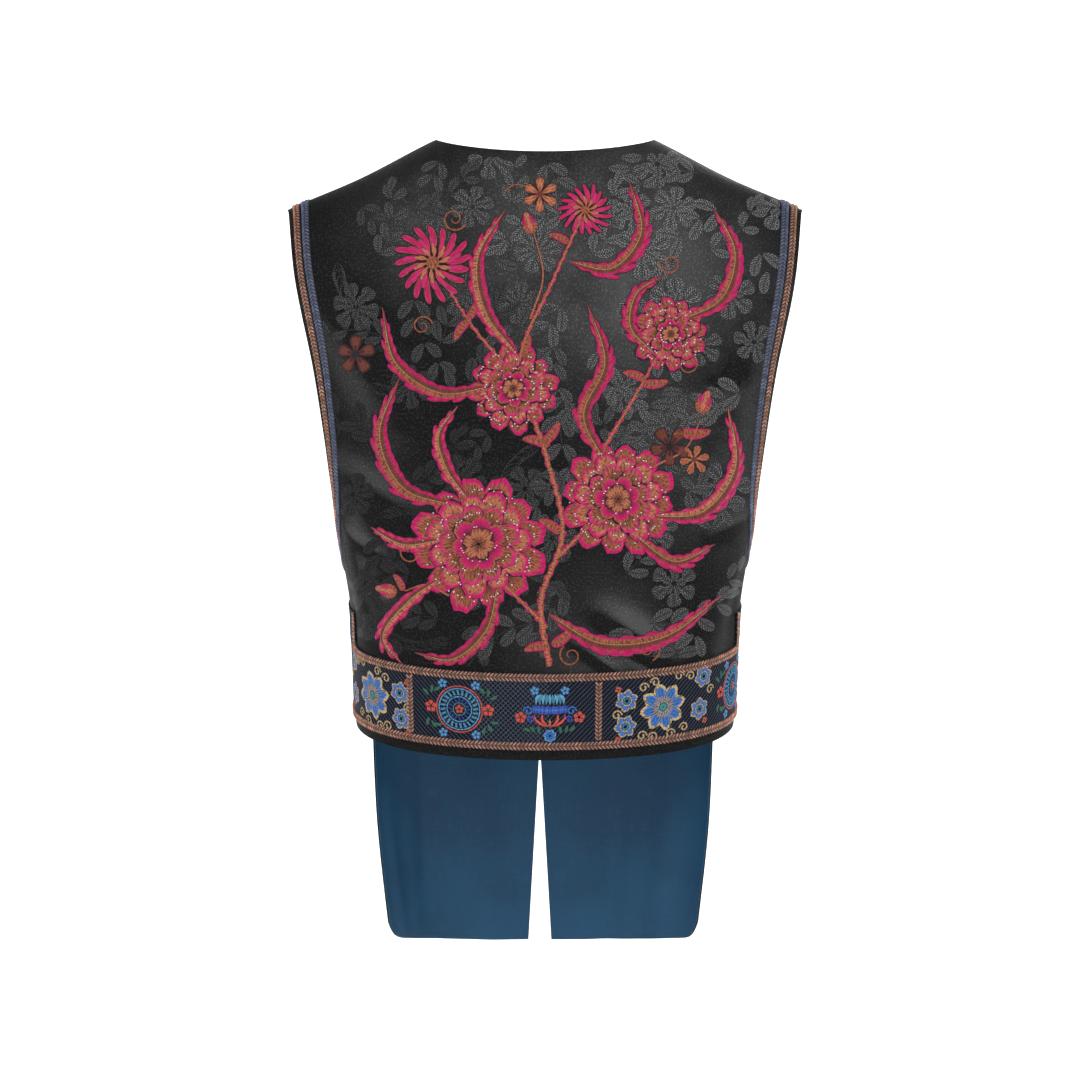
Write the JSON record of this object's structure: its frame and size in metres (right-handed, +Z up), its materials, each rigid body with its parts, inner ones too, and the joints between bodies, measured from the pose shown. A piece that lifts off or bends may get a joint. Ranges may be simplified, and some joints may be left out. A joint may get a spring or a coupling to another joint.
{
  "type": "silk waistcoat",
  "caption": "Sleeveless black silk waistcoat with a short back, long blue-lined fronts, a V neck, side vents, braided armholes and a ribbon along the back hem.",
  "frame": {"origin": "midway between the two points where the shoulder seams meet the neck", "axes": "+Z up the wearer's body, the garment faces -Y, the wearer's left is +X"},
  "size_m": [0.4994, 0.2434, 0.7902],
  "materials": {
    "black_silk": "black silk damask with a soft satin sheen",
    "blue_lining": "deep blue slubbed silk, low sheen",
    "copper_braid": "copper-coloured chain braid",
    "blue_braid": "navy and periwinkle chain braid",
    "woven_ribbon": "navy jacquard ribbon with a silvery hatch and stitched flowers",
    "embroidery_thread": "satin-stitched copper, peach and magenta thread with small sequins"
  },
  "bodies": {
    "root": {"back_panel": "black_silk", "front_left": "black_silk", "front_right": "black_silk", "front_lining_left": "blue_lining", "front_lining_right": "blue_lining", "hem_ribbon": "woven_ribbon", "vent_ribbon_left": "woven_ribbon", "vent_ribbon_right": "woven_ribbon", "ribbon_outer_braid": "copper_braid", "ribbon_inner_braid": "copper_braid", "ribbon_divider_1": "copper_braid", "ribbon_divider_2": "copper_braid", "armhole_copper_braid_left": "copper_braid", "armhole_copper_braid_right": "copper_braid", "armhole_blue_braid_left": "blue_braid", "armhole_blue_braid_right": "blue_braid"}
  },
  "joints": []
}
